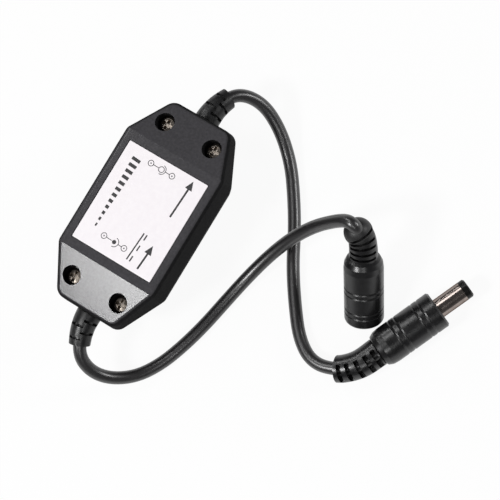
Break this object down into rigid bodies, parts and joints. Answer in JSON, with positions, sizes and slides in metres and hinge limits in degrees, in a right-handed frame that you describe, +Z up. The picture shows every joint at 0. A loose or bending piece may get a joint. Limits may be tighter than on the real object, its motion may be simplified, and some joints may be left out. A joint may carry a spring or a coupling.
{
  "type": "rotary cord dimmer",
  "caption": "Inline low-voltage rotary dimmer in a two-part moulded housing with strain reliefs, an input cord with a DC socket and an output cord with a DC barrel plug.",
  "frame": {"origin": "middle of the knob's face, on the floor under the housing's middle, with the cords left out", "axes": "+X along the housing towards the output cord, +Z up, from the knob to the label"},
  "size_m": [0.0915, 0.1028, 0.027],
  "materials": {
    "housing": "fine texture",
    "label": "satin",
    "screws": "nickel",
    "knob": "satin",
    "shaft": "turned",
    "bracket": "zinc",
    "wafer": "laminate",
    "contacts": "bright",
    "tinned": "tinned",
    "board": "solder mask",
    "package": "matte",
    "can": "bright",
    "resistor": "matte",
    "relief": "satin",
    "cord": "semi-gloss",
    "red_lead": "semi-gloss",
    "black_lead": "semi-gloss",
    "connector": "semi-gloss",
    "insulator": "gloss",
    "nickel": "nickel"
  },
  "bodies": {
    "housing": {"rear_cover": "housing", "front_cover": "housing", "face_label": "label", "cover_screws": "screws", "pot_bracket": "bracket", "pot_wafer": "wafer", "pot_terminals": "contacts", "circuit_board": "board", "power_mosfet": "package", "mosfet_leads": "tinned", "filter_capacitor": "can", "surge_diode": "package", "timer_chip": "package", "timer_pins": "tinned", "chip_resistors": "resistor", "output_cord": "cord", "output_strain_relief": "relief", "output_positive_lead": "red_lead", "output_negative_lead": "black_lead", "plug_body": "connector", "plug_sleeve": "nickel", "plug_insulator": "insulator", "plug_contact": "contacts", "input_cord": "cord", "input_strain_relief": "relief", "input_positive_lead": "red_lead", "input_negative_lead": "black_lead", "socket_body": "connector", "socket_insert": "insulator", "socket_pin": "nickel", "socket_spring": "contacts"},
    "knob": {"knob": "knob", "pot_shaft": "shaft", "pot_wiper": "contacts"}
  },
  "joints": [
    {"name": "knob_turn", "type": "hinge", "parent": "housing", "child": "knob", "pos_m": [0, 0, 0], "axis": [0, 0, 1], "range_deg": [-150, 150]}
  ]
}
